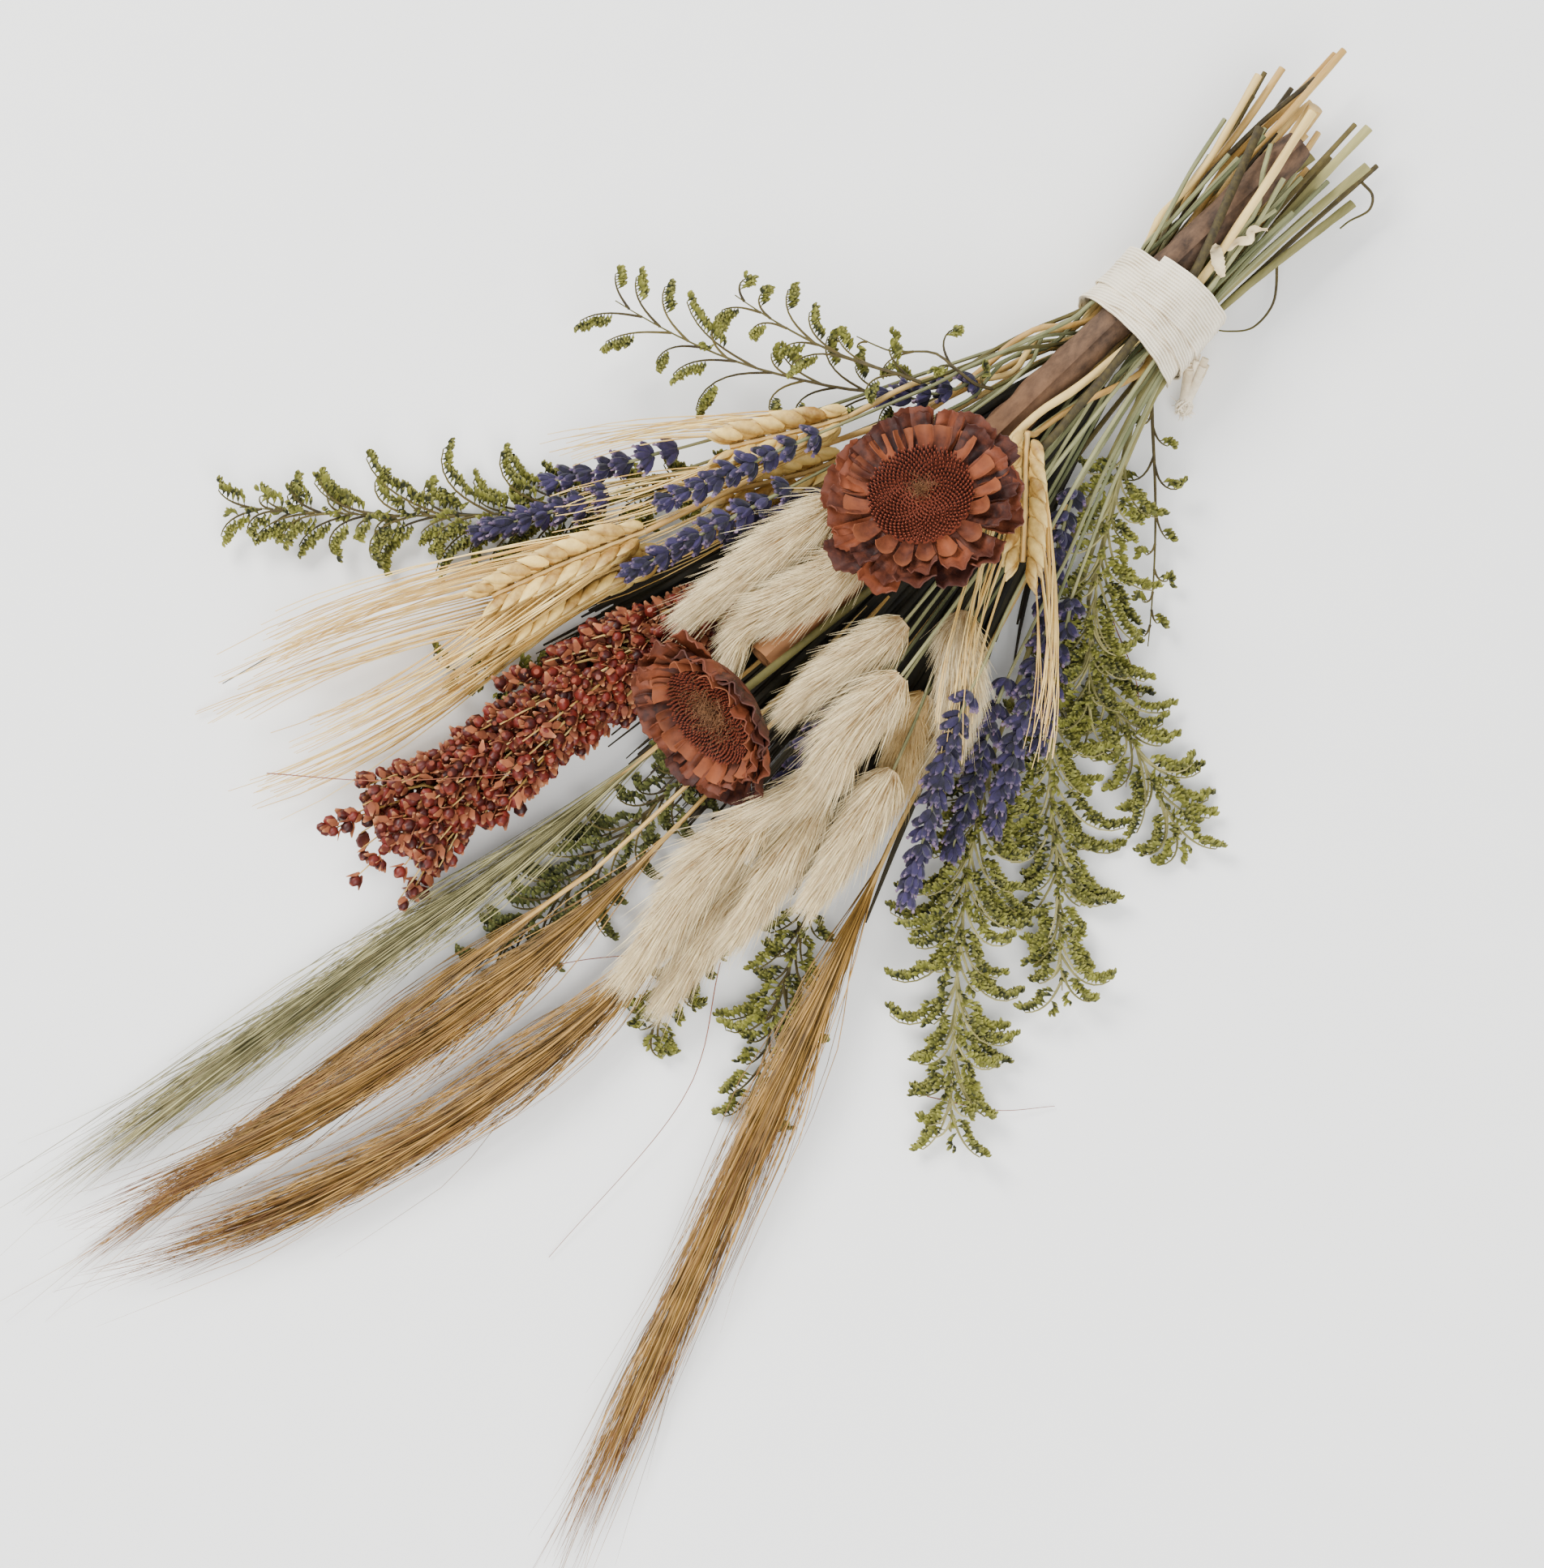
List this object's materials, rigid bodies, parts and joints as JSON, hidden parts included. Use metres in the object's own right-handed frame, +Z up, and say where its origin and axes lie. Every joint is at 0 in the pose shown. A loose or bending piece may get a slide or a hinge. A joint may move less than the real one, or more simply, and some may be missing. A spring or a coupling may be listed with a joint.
{
  "type": "bunch of dried lavender",
  "caption": "Hand-tied bunch of dried lavender with bunny tails, wheat, sorghum, brush grass, sugarbush and sea lavender, lying down, bound near the cut ends with cotton tape.",
  "frame": {"origin": "on the resting surface, straight below the middle of the cotton tie, on the flat underside of the tape", "axes": "+Z up from the surface that the bunch lies on; +Y along the bunch from the tie to the cut stem ends, so the heads fan out towards -Y; +X to the side with the greener sprays, on the right when looking along +Y with +Z up"},
  "size_m": [0.3282, 0.5986, 0.0813],
  "materials": {
    "cinnamon_bark": "dry mottled rolled bark",
    "sea_lavender": "tiny papery moss-green florets on wiry dark stems",
    "brush_grass": "glossy straw-gold bristles, darker inside",
    "wheat": "satin straw, ridged husks and fine awns",
    "sorghum": "hard brick-red grains in tan papery husks",
    "lavender": "matt blue-violet ribbed calyces on grey-green stems",
    "bunny_tail": "soft ivory silky hair",
    "sugarbush": "crisp rust-brown bracts round a fibrous seed face",
    "cotton_tape": "cream woven cotton tape with frayed ends"
  },
  "bodies": {
    "root": {"cinnamon_stick": "cinnamon_bark", "sea_lavender_1": "sea_lavender", "sea_lavender_2": "sea_lavender", "sea_lavender_3": "sea_lavender", "sea_lavender_4": "sea_lavender", "sea_lavender_5": "sea_lavender", "sea_lavender_6": "sea_lavender", "sea_lavender_7": "sea_lavender", "sea_lavender_8": "sea_lavender", "sea_lavender_9": "sea_lavender", "sea_lavender_10": "sea_lavender", "sea_lavender_11": "sea_lavender", "sea_lavender_12": "sea_lavender", "sea_lavender_13": "sea_lavender", "brush_grass_1": "brush_grass", "brush_grass_2": "brush_grass", "brush_grass_3": "brush_grass", "brush_grass_4": "brush_grass", "brush_grass_5": "brush_grass", "wheat_1": "wheat", "wheat_2": "wheat", "wheat_3": "wheat", "wheat_4": "wheat", "wheat_5": "wheat", "sorghum_1": "sorghum", "lavender_1": "lavender", "lavender_2": "lavender", "lavender_3": "lavender", "lavender_4": "lavender", "lavender_5": "lavender", "lavender_6": "lavender", "lavender_7": "lavender", "lavender_8": "lavender", "lavender_9": "lavender", "lavender_10": "lavender", "lavender_11": "lavender", "lavender_12": "lavender", "bunny_tail_1": "bunny_tail", "bunny_tail_2": "bunny_tail", "bunny_tail_3": "bunny_tail", "bunny_tail_4": "bunny_tail", "bunny_tail_5": "bunny_tail", "bunny_tail_6": "bunny_tail", "bunny_tail_7": "bunny_tail", "bunny_tail_8": "bunny_tail", "bunny_tail_9": "bunny_tail", "bunny_tail_10": "bunny_tail", "sugarbush_1": "sugarbush", "sugarbush_2": "sugarbush", "cotton_tape_wrap": "cotton_tape", "cotton_tape_knot": "cotton_tape"}
  },
  "joints": []
}
